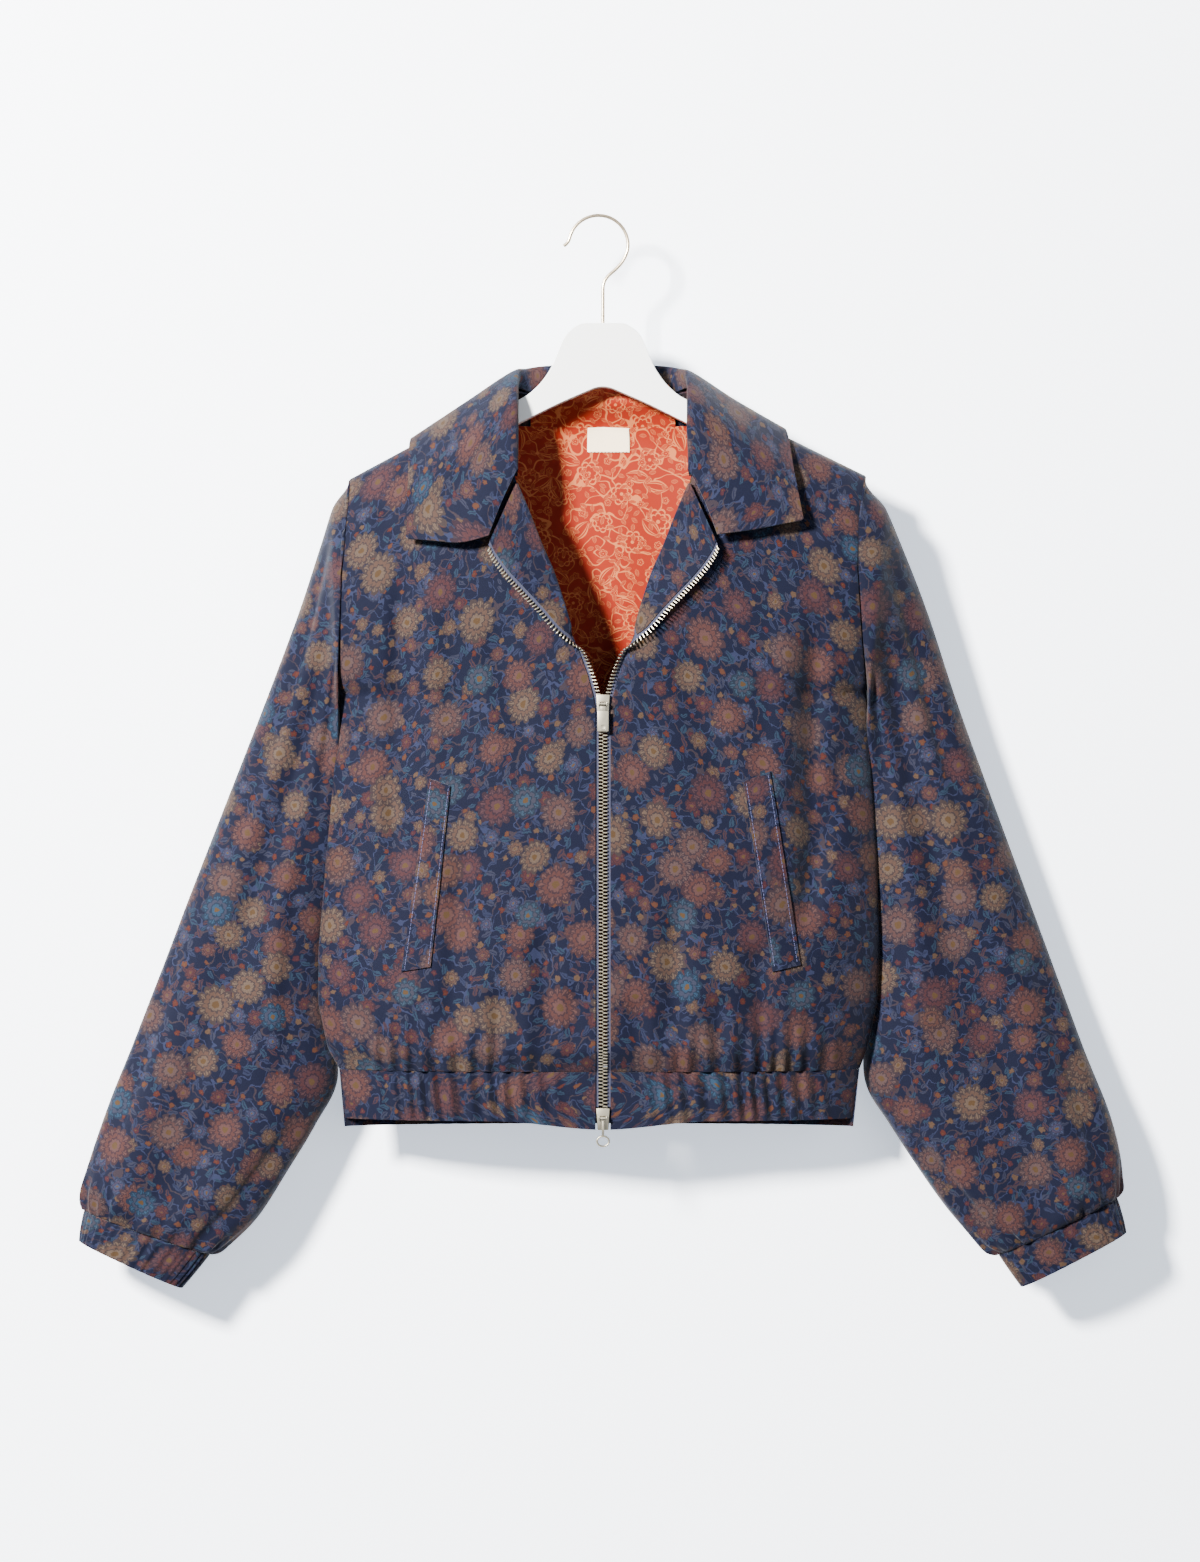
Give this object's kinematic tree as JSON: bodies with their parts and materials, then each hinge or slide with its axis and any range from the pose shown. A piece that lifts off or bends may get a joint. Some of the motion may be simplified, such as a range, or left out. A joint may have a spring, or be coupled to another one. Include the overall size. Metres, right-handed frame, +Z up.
{
  "type": "bomber jacket on a clothes hanger",
  "caption": "Short floral bomber jacket with a turned-down collar, part-open front zip, slanted welt pockets, gathered waistband and cuffs, hanging on a white hanger.",
  "frame": {"origin": "inside of the hanger's hook, at the top of the loop above the stem, where it rests on a rail", "axes": "+Z up, -Y the front of the jacket, +X the wearer's left"},
  "size_m": [0.8851, 0.1053, 0.9064],
  "materials": {
    "shell": "printed cotton, matt",
    "facing": "printed cotton, matt",
    "lining": "printed lining, soft sheen",
    "label": "woven, matt",
    "tape": "woven tape, matt",
    "zip_metal": "nickel plate, satin",
    "painted_wood": "white paint, satin",
    "wire": "warm nickel, satin"
  },
  "bodies": {
    "jacket": {"back": "shell", "front_left": "shell", "front_right": "shell", "facing_left": "facing", "facing_right": "facing", "neck_facing": "lining", "lining_back": "lining", "label": "label", "collar": "shell", "sleeve_left": "shell", "sleeve_right": "shell", "cuff_left": "shell", "cuff_right": "shell", "band_front_left": "shell", "band_front_right": "shell", "band_back": "shell", "welt_left": "shell", "welt_right": "shell", "zip_tape_left": "tape", "zip_tape_right": "tape", "zip_row_left": "zip_metal", "zip_row_right": "zip_metal", "slider_top": "zip_metal", "slider_bottom": "zip_metal", "hanger": "painted_wood", "hook": "wire"},
    "pull_top": {"pull_top": "zip_metal"},
    "pull_bottom": {"pull_bottom": "zip_metal"}
  },
  "joints": [
    {"name": "top_pull", "type": "hinge", "parent": "jacket", "child": "pull_top", "pos_m": [0, -0.04941, -0.411], "axis": [-1, 0, 0], "range_deg": [0, 160]},
    {"name": "bottom_pull", "type": "hinge", "parent": "jacket", "child": "pull_bottom", "pos_m": [0, -0.0415, -0.756], "axis": [-1, 0, 0], "range_deg": [0, 160]}
  ]
}
